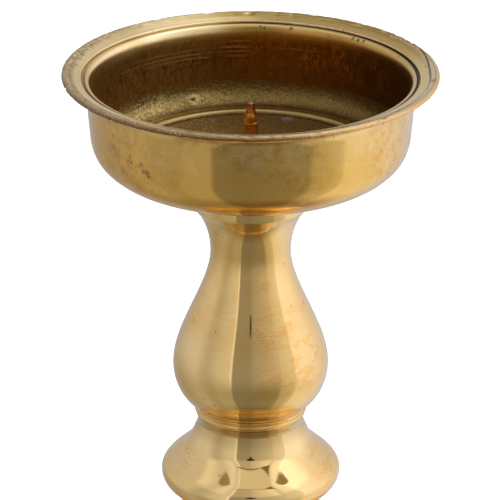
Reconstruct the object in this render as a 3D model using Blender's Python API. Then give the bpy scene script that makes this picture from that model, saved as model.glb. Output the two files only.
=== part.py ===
"""A turned brass pricket candlestick: a deep drip bowl with a screwed-in spike, on a stack of hollow
turned pieces that a tie rod clamps together.

Lengths are written in millimetres and scaled by MM where a mesh is made. +Z is up, the candlestick's
axis is the Z axis, and it stands on Z = 0.
"""

import math

import bmesh
import bpy
from mathutils import Matrix, Vector
from mathutils.geometry import interpolate_bezier

MM = 0.001
GAP = 0.3                      # clearance left between pieces that bear on each other

# Heights of the joints in the stack, from the table up
FELT_THICKNESS = 1.0
FOOT_BOTTOM = FELT_THICKNESS + GAP
FOOT_TOP = 25.6
NECK_BEAD_TOP = 28.7
KNOP_BOTTOM = NECK_BEAD_TOP + GAP
KNOP_TOP = 61.8
COLLAR_BOTTOM = KNOP_TOP + GAP
COLLAR_TOP = 65.1
STEM_BOTTOM = COLLAR_TOP + GAP
STEM_TOP = 140.1
BOWL_SEAT = STEM_TOP + GAP
RIM_TOP = 180.0

# Widths of the main forms
FOOT_RADIUS = 52.0
KNOP_RADIUS = 29.2
COLLAR_RADIUS = 17.6
BELLY_RADIUS = 25.1
WAIST_RADIUS = 13.0
LIP_RADIUS = 19.2
BOWL_WALL_RADIUS = 51.9
RIM_RADIUS = 60.0

# The drip bowl
BOWL_WALL = 1.6
HEM_THICKNESS = 2.0
HEM_WIDTH = 3.7
FLOOR_RING_RADIUS = 39.5        # middle of the ring's flat top, where a wide candle stands
FLOOR_RING_WIDTH = 2.2
FLOOR_RING_TOP = 152.2
BOWL_HOLE_RADIUS = 2.6
FLOOR_SEAT = 144.0             # the flat round the spike's hole, inside the bowl
FLOOR_SEAT_RADIUS = 9.0

# The spike and what holds it: an M4 thread in the upper end of the coupling nut
SPIKE_TIP = 169.1
SPIKE_SHOULDER = 162.0
SPIKE_SHOULDER_RADIUS = 2.3
SPIKE_SHANK_RADIUS = 2.0
THREAD_CLEARANCE = 0.35
THREAD_PITCH = 0.7
THREAD_TURNS = 12
SPIKE_WASHER_RADIUS = 6.0
SPIKE_WASHER_THICKNESS = 1.0
SPIKE_NUT_FLATS = 7.0
SPIKE_NUT_HEIGHT = 3.2

# The tie rod, M6, and its fittings
ROD_RADIUS = 3.0
ROD_HOLE_RADIUS = 3.5
ROD_BOTTOM = 9.0
COUPLING_FLATS = 10.0
COUPLING_TOP = 135.6
COUPLING_BOTTOM = 112.0
STEM_WEB = COUPLING_TOP + GAP
FOOT_WEB = 20.4                # underside of the web across the foot's throat
FOOT_WASHER_RADIUS = 9.0
FOOT_WASHER_THICKNESS = 1.2
LOCK_WASHER_RADIUS = 5.3
LOCK_WASHER_THICKNESS = 1.4
FOOT_NUT_FLATS = 10.0
FOOT_NUT_HEIGHT = 5.0

LARGE_STEPS = 32               # facets round the large turned pieces
SMALL_STEPS = 16               # facets round the rod, the spike and the washers
SMOOTH_ANGLE = math.radians(32)
NUT_CHAMFER = math.radians(30)


def clear_scene():
    for item in list(bpy.data.objects):
        bpy.data.objects.remove(item, do_unlink=True)


def material(name, colour, roughness, metallic):
    made = bpy.data.materials.new(name)
    made.use_nodes = True
    shader = made.node_tree.nodes["Principled BSDF"]
    shader.inputs["Base Color"].default_value = (*colour, 1.0)
    shader.inputs["Roughness"].default_value = roughness
    shader.inputs["Metallic"].default_value = metallic
    return made


def curve(start, start_pull, end_pull, end, count):
    """Points of a cubic curve from start to end, without the start point, in (radius, height)."""
    corners = [Vector((r, z, 0)) for r, z in (start, start_pull, end_pull, end)]
    points = interpolate_bezier(*corners, count + 1)
    return [(p.x, p.y) for p in points[1:]]


def arc(centre, radius, first_deg, last_deg, count):
    """Points of an arc in (radius, height), with 0 degrees pointing away from the axis."""
    cr, cz = centre
    angles = [math.radians(first_deg + (last_deg - first_deg) * i / count) for i in range(count + 1)]
    return [(cr + radius * math.cos(a), cz + radius * math.sin(a)) for a in angles]


def add_object(name, mesh, finish):
    mesh.materials.append(finish)
    made = bpy.data.objects.new(name, mesh)
    bpy.context.scene.collection.objects.link(made)
    return made


def turned(name, outline, steps, finish, closed=True):
    """Spins an outline of (radius, height) points round the Z axis. A closed outline makes a ring; an
    open one starts and ends on the axis."""
    shape = bmesh.new()
    points = [shape.verts.new((r * MM, 0, z * MM)) for r, z in outline]
    pairs = list(zip(points, points[1:]))
    if closed:
        pairs.append((points[-1], points[0]))
    edges = [shape.edges.new(pair) for pair in pairs]
    bmesh.ops.spin(
        shape, geom=points + edges, cent=(0, 0, 0), axis=(0, 0, 1),
        angle=2 * math.pi, steps=steps, use_merge=True,
    )
    bmesh.ops.remove_doubles(shape, verts=shape.verts[:], dist=1e-6)
    bmesh.ops.recalc_face_normals(shape, faces=shape.faces[:])
    mesh = bpy.data.meshes.new(name)
    shape.to_mesh(mesh)
    shape.free()
    mesh.shade_smooth()
    mesh.set_sharp_from_angle(angle=SMOOTH_ANGLE)
    return add_object(name, mesh, finish)


def washer(name, bore, radius, bottom, thickness, finish, bevel=0.15):
    top = bottom + thickness
    outline = [
        (bore, top), (radius - bevel, top), (radius, top - bevel),
        (radius, bottom + bevel), (radius - bevel, bottom), (bore, bottom),
    ]
    return turned(name, outline, SMALL_STEPS, finish)


def cut(target, tool, operation):
    """Shapes one object with another, which is then only a guide."""
    tool.hide_render = True
    tool.display_type = "WIRE"
    step = target.modifiers.new(tool.name, "BOOLEAN")
    step.operation = operation
    step.solver = "EXACT"
    step.object = tool


def hexagon_bar(name, flats, bottom, height):
    """A plain six-sided bar standing on the given height."""
    shape = bmesh.new()
    corner = flats / math.sqrt(3)
    place = Matrix.Translation((0, 0, (bottom + height / 2) * MM))
    bmesh.ops.create_cone(
        shape, cap_ends=True, segments=6, radius1=corner * MM, radius2=corner * MM,
        depth=height * MM, matrix=place,
    )
    mesh = bpy.data.meshes.new(name)
    shape.to_mesh(mesh)
    shape.free()
    return mesh


def hex_nut(name, flats, bottom, height, bores, finish):
    """A six-sided nut with chamfered ends. bores lists (radius, bottom, top) of its holes."""
    nut = add_object(name, hexagon_bar(name, flats, bottom, height), finish)
    top = bottom + height
    inside = flats / 2 * 0.98
    outside = flats / math.sqrt(3) * 1.15
    drop = (outside - inside) * math.tan(NUT_CHAMFER)
    blank = [
        (0, top), (inside, top), (outside, top - drop),
        (outside, bottom + drop), (inside, bottom), (0, bottom),
    ]
    cut(nut, turned(name + "_rounding", blank, SMALL_STEPS, finish, closed=False), "INTERSECT")
    for number, (radius, low, high) in enumerate(bores):
        hole = [(0, high), (radius, high), (radius, low), (0, low)]
        cut(nut, turned(f"{name}_bore_{number}", hole, SMALL_STEPS, finish, closed=False), "DIFFERENCE")


def drip_bowl(finish):
    """Deep bowl: hemmed rim, groove and shoulder inside it, rounded corner, raised floor ring, dished floor."""
    hem_middle = RIM_TOP - HEM_THICKNESS / 2
    hem_radius = HEM_THICKNESS / 2
    inner = BOWL_WALL_RADIUS - BOWL_WALL
    ring_inside = FLOOR_RING_RADIUS - FLOOR_RING_WIDTH / 2
    ring_outside = FLOOR_RING_RADIUS + FLOOR_RING_WIDTH / 2
    outline = arc((RIM_RADIUS - hem_radius, hem_middle), hem_radius, 90, -90, 4)
    # under the flange, down the wall and in under the bowl
    outline += curve(outline[-1], (56.5, 177.6), (52.6, 176.5), (52.1, 172.5), 4)
    outline += curve(outline[-1], (51.9, 169.0), (51.7, 165.0), (51.3, 161.5), 2)
    outline += curve(outline[-1], (50.9, 156.6), (49.6, 152.8), (46.2, 149.6), 5)
    outline += curve(outline[-1], (42.6, 146.2), (36.5, 144.9), (32.0, 143.6), 4)
    outline += [(LIP_RADIUS + 1.8, BOWL_SEAT), (BOWL_HOLE_RADIUS, BOWL_SEAT)]
    # the floor, from the spike's hole outwards
    outline += [(BOWL_HOLE_RADIUS, FLOOR_SEAT), (FLOOR_SEAT_RADIUS, FLOOR_SEAT)]
    outline += curve(outline[-1], (18.0, 145.6), (30.0, 149.4), (ring_inside - 0.4, 151.0), 3)
    outline += [(ring_inside, FLOOR_RING_TOP), (ring_outside, FLOOR_RING_TOP), (ring_outside + 1.0, 151.5)]
    # the rounded corner, the wall inside, and the shoulder, groove and flange
    outline += curve(outline[-1], (45.8, 150.9), (inner - 0.3, 153.2), (inner - 0.2, 158.6), 5)
    outline += curve(outline[-1], (inner, 163.5), (inner, 170.0), (inner + 0.1, 174.2), 2)
    outline += curve(outline[-1], (51.0, 176.6), (51.7, 177.4), (52.6, 177.6), 3)
    outline += [(53.3, 177.1), (54.0, 177.7)]
    outline += [(RIM_RADIUS - HEM_WIDTH, 178.6), (RIM_RADIUS - HEM_WIDTH + 0.4, 179.5)]
    return turned("drip_bowl", outline, LARGE_STEPS, finish)


def stem(finish):
    """Hollow baluster: a square-edged lip, a hollow neck, a pear-shaped belly; open at the bottom."""
    outline = [(BOWL_HOLE_RADIUS, STEM_TOP), (LIP_RADIUS - 0.4, STEM_TOP), (LIP_RADIUS, STEM_TOP - 0.4)]
    outline += [(LIP_RADIUS, 135.3), (LIP_RADIUS - 0.3, 134.9), (17.0, 132.6)]
    outline += curve((16.7, 132.1), (14.7, 129.0), (WAIST_RADIUS, 124.2), (WAIST_RADIUS, 118.9), 6)
    outline += curve(outline[-1], (WAIST_RADIUS, 107.3), (BELLY_RADIUS, 91.3), (BELLY_RADIUS, 79.7), 9)
    outline += curve(outline[-1], (BELLY_RADIUS, 74.9), (22.8, 68.8), (17.3, STEM_BOTTOM), 6)
    # the core, from the mouth up to the web under the bowl
    outline += [(13.4, STEM_BOTTOM), (13.4, STEM_BOTTOM + 3.0)]
    outline += curve(outline[-1], (19.5, 70.5), (22.4, 74.5), (22.4, 79.7), 3)
    outline += curve(outline[-1], (22.4, 91.3), (10.0, 107.3), (10.0, 118.9), 5)
    outline += curve(outline[-1], (10.0, 125.0), (11.0, 129.0), (11.6, STEM_WEB), 1)
    outline += [(BOWL_HOLE_RADIUS, STEM_WEB)]
    return turned("stem", outline, LARGE_STEPS, finish)


def collar_bead(finish):
    """Narrow bead between the belly and the knop, with a spigot each way to centre them."""
    spigot = 13.0
    outline = [(9.0, STEM_BOTTOM + 2.0), (spigot, STEM_BOTTOM + 2.0), (spigot, COLLAR_TOP)]
    outline += [(COLLAR_RADIUS - 0.4, COLLAR_TOP)]
    outline += curve(outline[-1], (COLLAR_RADIUS + 0.3, 64.6), (17.3, 63.0), (16.1, COLLAR_BOTTOM), 4)
    outline += [(spigot - 1.0, COLLAR_BOTTOM), (spigot - 1.0, KNOP_TOP - 2.0), (9.0, KNOP_TOP - 2.0)]
    return turned("collar_bead", outline, LARGE_STEPS, finish)


def knop(finish):
    """Wide rounded knop with a flared shoulder, hollow, with a spigot socket at each end."""
    outline = [(12.4, KNOP_TOP), (16.2, KNOP_TOP)]
    outline += curve((16.0, 60.6), (16.0, 57.2), (18.3, 55.1), (20.3, 53.0), 4)
    outline += curve((25.8, 47.0), (27.3, 45.5), (KNOP_RADIUS, 43.8), (KNOP_RADIUS, 41.5), 4)
    outline += curve(outline[-1], (KNOP_RADIUS, 38.6), (27.4, 36.2), (24.0, 35.6), 4)
    outline += [(23.2, 35.0)]
    outline += curve(outline[-1], (17.0, 34.6), (13.6, 33.4), (13.4, 30.2), 4)
    outline += [(14.0, KNOP_BOTTOM), (9.4, KNOP_BOTTOM), (9.4, KNOP_BOTTOM + 3.0)]
    # the core
    outline += curve((10.4, 33.5), (13.0, 37.4), (26.6, 36.6), (26.4, 41.5), 3)
    outline += curve(outline[-1], (26.2, 45.0), (12.4, 52.0), (12.4, 57.6), 3)
    return turned("knop", outline, LARGE_STEPS, finish)


def neck_bead(finish):
    """Full-round bead between the knop and the foot."""
    bottom = FOOT_TOP + GAP
    middle = (bottom + NECK_BEAD_TOP) / 2
    bulge = (NECK_BEAD_TOP - bottom) / 2
    outline = [(6.0, KNOP_BOTTOM + 1.8), (9.0, KNOP_BOTTOM + 1.8), (9.0, NECK_BEAD_TOP)]
    outline += arc((14.6, middle), bulge, 90, -90, 6)
    outline += [(6.0, bottom)]
    return turned("neck_bead", outline, LARGE_STEPS, finish)


def foot(finish):
    """Round hollow foot: a hollow neck, a step, a domed shoulder and an upright edge."""
    edge = FOOT_RADIUS
    outline = [(ROD_HOLE_RADIUS, FOOT_TOP), (13.6, FOOT_TOP), (14.0, FOOT_TOP - 0.4)]
    outline += curve(outline[-1], (14.3, 20.0), (19.0, 16.8), (28.0, 15.9), 6)
    outline += [(28.4, 14.9)]
    outline += curve((29.6, 14.7), (39.0, 14.0), (46.6, 11.2), (48.6, 6.2), 7)
    outline += [(49.4, 5.6), (edge - 0.7, 5.4), (edge, 4.7), (edge, FOOT_BOTTOM + 0.5)]
    outline += [(edge - 0.5, FOOT_BOTTOM), (48.4, FOOT_BOTTOM), (48.4, 3.6)]
    # the hollow underneath, up to the web that the tie rod clamps
    outline += curve((46.4, 5.4), (44.6, 9.4), (38.0, 11.8), (27.0, 12.6), 4)
    outline += curve(outline[-1], (20.0, 13.4), (12.6, 14.6), (11.4, FOOT_WEB), 3)
    outline += [(ROD_HOLE_RADIUS, FOOT_WEB)]
    return turned("foot", outline, LARGE_STEPS, finish)


def base_felt(finish):
    """Felt disc glued under the foot's edge; the candlestick rests on it."""
    radius = FOOT_RADIUS - 0.8
    outline = [(0, FELT_THICKNESS), (radius, FELT_THICKNESS), (radius, 0), (0, 0)]
    return turned("base_felt", outline, LARGE_STEPS, finish, closed=False)


def spike(finish):
    """Blunt turned point with a flared shoulder, on a long threaded shank."""
    engaged = THREAD_PITCH * THREAD_TURNS
    end = COUPLING_TOP - engaged
    shank = SPIKE_SHANK_RADIUS
    outline = [(0, SPIKE_TIP), (0.75, SPIKE_TIP), (0.95, SPIKE_TIP - 0.25)]
    outline += curve(outline[-1], (1.2, 166.4), (1.35, 164.6), (2.1, 163.3), 4)
    outline += [(SPIKE_SHOULDER_RADIUS, 162.6), (SPIKE_SHOULDER_RADIUS, SPIKE_SHOULDER)]
    outline += [(shank, SPIKE_SHOULDER - 0.3), (shank, end + 0.6), (shank - 0.6, end), (0, end)]
    return turned("spike", outline, SMALL_STEPS, finish, closed=False)


def tie_rod(finish):
    top = COUPLING_TOP - THREAD_PITCH * THREAD_TURNS - 1.0
    bevel = 0.8
    outline = [
        (0, top), (ROD_RADIUS - bevel, top), (ROD_RADIUS, top - bevel),
        (ROD_RADIUS, ROD_BOTTOM + bevel), (ROD_RADIUS - bevel, ROD_BOTTOM), (0, ROD_BOTTOM),
    ]
    return turned("tie_rod", outline, SMALL_STEPS, finish, closed=False)


def spike_fittings(brass, steel):
    """Washer and lock nut on the spike's shank, clamping the bowl, and the long nut inside the stem."""
    bore = SPIKE_SHANK_RADIUS + THREAD_CLEARANCE
    washer_bottom = FLOOR_SEAT + GAP
    washer("spike_washer", bore, SPIKE_WASHER_RADIUS, washer_bottom, SPIKE_WASHER_THICKNESS, brass)
    nut_bottom = washer_bottom + SPIKE_WASHER_THICKNESS + GAP
    hex_nut(
        "spike_nut", SPIKE_NUT_FLATS, nut_bottom, SPIKE_NUT_HEIGHT,
        [(bore, nut_bottom - 1, nut_bottom + SPIKE_NUT_HEIGHT + 1)], brass,
    )
    split = COUPLING_TOP - THREAD_PITCH * THREAD_TURNS
    hex_nut(
        "coupling_nut", COUPLING_FLATS, COUPLING_BOTTOM, COUPLING_TOP - COUPLING_BOTTOM,
        [(bore, split - 1, COUPLING_TOP + 1), (ROD_RADIUS + THREAD_CLEARANCE, COUPLING_BOTTOM - 1, split)],
        steel,
    )


def foot_fittings(steel):
    """Large washer, lock washer and nut that tighten the tie rod inside the foot."""
    bore = ROD_RADIUS + THREAD_CLEARANCE
    level = FOOT_WEB - GAP - FOOT_WASHER_THICKNESS
    washer("foot_washer", bore, FOOT_WASHER_RADIUS, level, FOOT_WASHER_THICKNESS, steel)
    level -= GAP + LOCK_WASHER_THICKNESS
    washer("lock_washer", bore, LOCK_WASHER_RADIUS, level, LOCK_WASHER_THICKNESS, steel)
    level -= GAP + FOOT_NUT_HEIGHT
    hex_nut(
        "foot_nut", FOOT_NUT_FLATS, level, FOOT_NUT_HEIGHT,
        [(bore, level - 1, level + FOOT_NUT_HEIGHT + 1)], steel,
    )


def build():
    clear_scene()
    brass = material("polished_brass", (0.78, 0.53, 0.22), 0.12, 1.0)
    worn_brass = material("bowl_brass", (0.66, 0.44, 0.18), 0.25, 1.0)
    copper = material("spike_bronze", (0.52, 0.25, 0.09), 0.32, 1.0)
    steel = material("zinc_steel", (0.62, 0.62, 0.60), 0.35, 1.0)
    felt = material("green_felt", (0.05, 0.11, 0.07), 0.95, 0.0)
    drip_bowl(worn_brass)
    stem(brass)
    collar_bead(brass)
    knop(brass)
    neck_bead(brass)
    foot(brass)
    base_felt(felt)
    spike(copper)
    tie_rod(steel)
    spike_fittings(worn_brass, steel)
    foot_fittings(steel)


build()
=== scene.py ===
import math

import bmesh
import bpy
import numpy as np
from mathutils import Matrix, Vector, noise


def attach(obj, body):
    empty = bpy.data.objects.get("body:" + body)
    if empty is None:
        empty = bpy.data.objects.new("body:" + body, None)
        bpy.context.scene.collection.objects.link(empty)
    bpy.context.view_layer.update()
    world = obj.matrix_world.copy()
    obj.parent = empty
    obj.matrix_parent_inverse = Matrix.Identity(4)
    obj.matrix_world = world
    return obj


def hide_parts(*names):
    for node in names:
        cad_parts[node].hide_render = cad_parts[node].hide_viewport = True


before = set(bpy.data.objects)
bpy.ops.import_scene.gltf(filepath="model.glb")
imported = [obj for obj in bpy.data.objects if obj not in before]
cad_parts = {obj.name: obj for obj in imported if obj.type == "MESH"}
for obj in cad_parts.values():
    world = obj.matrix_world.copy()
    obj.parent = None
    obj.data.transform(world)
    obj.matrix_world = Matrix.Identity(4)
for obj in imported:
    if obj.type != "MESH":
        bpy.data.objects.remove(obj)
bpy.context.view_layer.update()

MM = 0.001
TAU = 2 * math.pi

# Segments round the turned pieces
BOWL_SEGMENTS = 352
BODY_SEGMENTS = 224
FOOT_SEGMENTS = 256
FELT_SEGMENTS = 288
SMALL_SEGMENTS = 96
SPIKE_SEGMENTS = 40

# The spike's thread
PITCH = 0.7
THREAD_DEPTH = 0.34

# Roughness of the polished outside, and the most stops that one colour ramp is given
POLISH = 0.045
MOST_STOPS = 30

FLOOR_HALF = 4.0
CAMERA_AT = (-0.0002, -1.13308, 0.58174)
CAMERA_DOWN = 22.237    # degrees
CAMERA_LENS = 273.3


# ---- outlines and turned meshes

class Outline:
    """A turned piece's outline in (radius, height), in millimetres, with names for places along it."""

    def __init__(self, radius, height, step=0.8):
        self.points = [(radius, height)]
        self.step = step
        self.length = 0.0
        self.marks = {}

    def add(self, radius, height):
        last = self.points[-1]
        self.length += math.hypot(radius - last[0], height - last[1])
        self.points.append((radius, height))
        return self

    def line(self, radius, height, step=None):
        (r0, z0), step = self.points[-1], step or self.step
        count = max(1, round(math.hypot(radius - r0, height - z0) / step))
        for i in range(1, count + 1):
            t = i / count
            self.add(r0 + (radius - r0) * t, z0 + (height - z0) * t)
        return self

    def bend(self, r1, z1, r2, z2, r3, z3, step=None):
        """A curve to (r3, z3) that is pulled towards the two points before it."""
        a, step = self.points[-1], step or self.step
        pull_a, pull_b, end = (r1, z1), (r2, z2), (r3, z3)
        rough = math.dist(a, pull_a) + math.dist(pull_a, pull_b) + math.dist(pull_b, end)
        count = max(3, round(rough / step))
        for i in range(1, count + 1):
            t = i / count
            u = 1 - t
            w = (u * u * u, 3 * u * u * t, 3 * u * t * t, t * t * t)
            self.add(*(sum(k * p[n] for k, p in zip(w, (a, pull_a, pull_b, end))) for n in (0, 1)))
        return self

    def arc(self, x, z, radius, first, last, count):
        for i in range(1, count + 1):
            angle = math.radians(first + (last - first) * i / count)
            self.add(x + radius * math.cos(angle), z + radius * math.sin(angle))
        return self

    def fall(self, stops, step=0.5):
        """Goes down through the heights given, leaning out by the angle given at each."""
        for (high, lean_a), (low, lean_b) in zip(stops, stops[1:]):
            count = max(1, round((high - low) / step))
            for i in range(count):
                lean = lean_a + (lean_b - lean_a) * (i + 0.5) / count
                drop = (high - low) / count
                self.add(self.points[-1][0] + math.tan(math.radians(lean)) * drop, self.points[-1][1] - drop)
        return self

    def mark(self, name):
        self.marks[name] = self.length
        return self


def smooth(low, high, value):
    t = np.clip((value - low) / (high - low), 0, 1)
    return t * t * (3 - 2 * t)


def grid_noise(where, scale, seed, octaves=2):
    """Smooth noise from about -1 to 1 at each (radius, height, angle), seamless round the axis."""
    radius, height, angle = where
    out = np.empty(radius.shape)
    x, y = radius * np.cos(angle) * scale, radius * np.sin(angle) * scale
    z = height * scale + seed * 17.3
    flat = out.ravel()
    for i, p in enumerate(zip(x.ravel(), y.ravel(), z.ravel())):
        flat[i] = noise.fractal(p, 1.0, 2.0, octaves)
    return out


def turned(name, outline, segments, shape=None, closed=True, sharp=34):
    """Spins an outline round the Z axis. shape moves the points: it is given each point's
    (radius, height, angle) and its place along the outline, and returns how far it moves along the outline's
    normal and up."""
    pts = np.array(outline.points, float)
    if closed and math.dist(pts[0], pts[-1]) < 1e-6:
        pts = pts[:-1]
    steps = np.hypot(*np.diff(np.array(outline.points, float), axis=0).T)
    along = np.concatenate([[0], np.cumsum(steps)])[:len(pts)]
    before, after = np.roll(pts, 1, axis=0), np.roll(pts, -1, axis=0)
    if not closed:
        before[0], after[-1] = pts[0], pts[-1]
    tangent = after - before
    tangent /= np.linalg.norm(tangent, axis=1)[:, None] + 1e-12
    normal = np.stack([-tangent[:, 1], tangent[:, 0]], axis=1)
    angles = np.arange(segments) * TAU / segments - math.pi / 2
    radius, height, path, angle = np.broadcast_arrays(pts[:, :1], pts[:, 1:], along[:, None], angles)
    if shape:
        out, up = shape((radius, height, angle), path)
        on_axis = radius < 1e-6
        out = np.where(on_axis, 0, out)
        radius = np.maximum(radius + normal[:, :1] * out, 0)
        height = height + normal[:, 1:] * out + np.where(on_axis, 0, up)
    verts = np.stack([radius * np.cos(angle), radius * np.sin(angle), height], axis=-1).reshape(-1, 3) * MM
    rows = len(pts) if closed else len(pts) - 1
    faces = []
    for i in range(rows):
        a, b = i * segments, ((i + 1) % len(pts)) * segments
        for j in range(segments):
            k = (j + 1) % segments
            faces.append((a + j, b + j, b + k, a + k))
    mesh = bpy.data.meshes.new(name)
    mesh.from_pydata(verts.tolist(), [], faces)
    values = mesh.attributes.new("along", "FLOAT", "POINT")
    values.data.foreach_set("value", path.ravel().astype(np.float32))
    return finish_mesh(name, mesh, sharp)


def add_object(name, data):
    made = bpy.data.objects.new(name, data)
    bpy.context.scene.collection.objects.link(made)
    return made


def finish_mesh(name, mesh, sharp):
    work = bmesh.new()
    work.from_mesh(mesh)
    bmesh.ops.remove_doubles(work, verts=work.verts[:], dist=1e-6)
    bmesh.ops.recalc_face_normals(work, faces=work.faces[:])
    work.to_mesh(mesh)
    work.free()
    mesh.shade_smooth()
    mesh.set_sharp_from_angle(angle=math.radians(sharp))
    return add_object(name, mesh)


# ---- material nodes

class Graph:
    """Short calls for building one material's nodes."""

    def __init__(self, name):
        self.material = bpy.data.materials.new(name)
        self.material.use_nodes = True
        self.tree = self.material.node_tree
        self.shader = self.tree.nodes["Principled BSDF"]
        self.object = self.node("ShaderNodeTexCoord").outputs["Object"]
        self.point = self.vector("SCALE", self.object, scale=1000.0)   # millimetres
        self.height_out = None

    def put(self, socket, value):
        if isinstance(value, bpy.types.NodeSocket):
            self.tree.links.new(value, socket)
        else:
            socket.default_value = value

    def node(self, kind, values=(), **settings):
        made = self.tree.nodes.new(kind)
        for key, value in settings.items():
            setattr(made, key, value)
        for key, value in dict(values).items():
            self.put(made.inputs[key], value)
        return made

    def math(self, operation, a, b=0.0, c=0.0):
        return self.node("ShaderNodeMath", {0: a, 1: b, 2: c}, operation=operation).outputs[0]

    def linear(self, value, factor, offset):
        return self.math("MULTIPLY_ADD", value, factor, offset)

    def plus(self, a, b):
        return self.math("ADD", a, b)

    def minus(self, a, b):
        return self.math("SUBTRACT", a, b)

    def gap(self, a, b):
        return self.math("ABSOLUTE", self.minus(a, b))

    def most(self, a, b):
        return self.math("MAXIMUM", a, b)

    def times(self, *parts):
        value = parts[0]
        for part in parts[1:]:
            value = self.math("MULTIPLY", value, part)
        return value

    def vector(self, operation, a, b=(0, 0, 0), scale=1.0):
        made = self.node("ShaderNodeVectorMath", {0: a, 1: b, 3: scale}, operation=operation)
        return made.outputs[1 if operation in ("LENGTH", "DISTANCE", "DOT_PRODUCT") else 0]

    def attribute(self, name):
        return self.node("ShaderNodeAttribute", attribute_name=name).outputs["Fac"]

    def split(self, vector):
        return self.node("ShaderNodeSeparateXYZ", {0: vector}).outputs

    def join(self, x, y, z):
        return self.node("ShaderNodeCombineXYZ", {0: x, 1: y, 2: z}).outputs[0]

    def noise(self, scale, detail=3.0, rough=0.55, vector=None, distortion=0.0):
        made = self.node("ShaderNodeTexNoise", {
            "Vector": vector or self.point, "Scale": scale, "Detail": detail,
            "Roughness": rough, "Distortion": distortion,
        })
        return made.outputs["Fac"]

    def cells(self, scale, vector=None, out="Distance"):
        values = {"Vector": vector or self.point, "Scale": scale}
        return self.node("ShaderNodeTexVoronoi", values).outputs[out]

    def fit(self, value, low, high, to_low=0.0, to_high=1.0):
        made = self.node("ShaderNodeMapRange", {
            "Value": value, "From Min": low, "From Max": high, "To Min": to_low, "To Max": to_high,
        }, interpolation_type="SMOOTHSTEP")
        return made.outputs["Result"]

    def fade(self, value, full, gone):
        """1 up to the first bound, 0 past the second."""
        return self.fit(value, full, gone, 1.0, 0.0)

    def cloud(self, low, high, *look):
        return self.fit(self.noise(*look), low, high)

    def scaled(self, x, y, z):
        return self.vector("MULTIPLY", self.point, (x, y, z))

    def mix(self, factor, a, b, blend="MIX"):
        made = self.node("ShaderNodeMix", data_type="RGBA", blend_type=blend)
        self.put(made.inputs[0], factor)
        for socket, value in ((made.inputs[6], a), (made.inputs[7], b)):
            self.put(socket, (*value, 1.0) if isinstance(value, tuple) else value)
        return made.outputs[2]

    def paint(self, new, *masks):
        """Lays a colour over what is there, as far as all the masks together let it through."""
        self.colour = self.mix(self.times(*masks), self.colour, new)

    def ramp(self, factor, stops):
        """Colours at positions from 0 to 1; numbers make greys."""
        made = self.node("ShaderNodeValToRGB", {0: factor})
        stones = made.color_ramp.elements
        while len(stones) < len(stops):
            stones.new(0.5)
        for stone, (position, colour) in zip(stones, sorted(stops, key=lambda s: s[0])):
            stone.position = position
            colour = colour if isinstance(colour, tuple) else (colour,) * 3
            stone.color = (*colour, 1.0)
        return made.outputs[0]

    def bump(self, height, distance, strength=1.0):
        """Adds a bump, in metres, on top of those before it."""
        values = {"Height": height, "Distance": distance, "Strength": strength}
        if self.height_out:
            values["Normal"] = self.height_out
        self.height_out = self.node("ShaderNodeBump", values).outputs[0]

    def finish(self, roughness, metallic=1.0):
        self.put(self.shader.inputs["Base Color"], self.colour)
        self.put(self.shader.inputs["Roughness"], roughness)
        self.put(self.shader.inputs["Metallic"], metallic)
        if self.height_out:
            self.put(self.shader.inputs["Normal"], self.height_out)
        return self.material


def spot(g, turn, radius, height, inner, outer):
    """1 near a place given as degrees from the front, radius and height in mm, 0 away from it."""
    a = math.radians(turn)
    gap = g.vector("DISTANCE", g.point, (radius * math.sin(a), -radius * math.cos(a), height))
    return g.fade(gap, inner, outer)


def sector(g, turn, half, soft):
    """1 within so many degrees of a direction round the axis, 0 outside it."""
    a = math.radians(turn)
    x, y, z = g.split(g.object)[:3]
    flat = g.vector("NORMALIZE", g.join(x, y, 0.0))
    facing = g.vector("DOT_PRODUCT", flat, (math.sin(a), -math.cos(a), 0.0))
    return g.fit(facing, math.cos(math.radians(half + soft)), math.cos(math.radians(max(half - soft, 0.0))))


def around(g, turns, rise, shift=0.0):
    """A coordinate that is stretched round the axis: fine along the outline, long round the piece."""
    x, y, z = g.split(g.object)[:3]
    flat = g.vector("NORMALIZE", g.join(x, y, 0.0))
    across = g.linear(g.attribute("along"), rise, shift)
    return g.vector("ADD", g.vector("SCALE", flat, scale=turns), g.join(0.0, 0.0, across))


def stain(g, scale, low, high, detail=4.0, rough=0.6, offset=(0, 0, 0)):
    shifted = g.vector("ADD", g.point, offset)
    return g.cloud(low, high, scale, detail, rough, shifted, 0.4)


# ---- brass

BRASS = (0.8, 0.535, 0.2)
BRASS_PALE = (0.84, 0.6, 0.27)
BRASS_ORANGE = (0.78, 0.36, 0.06)


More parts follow.
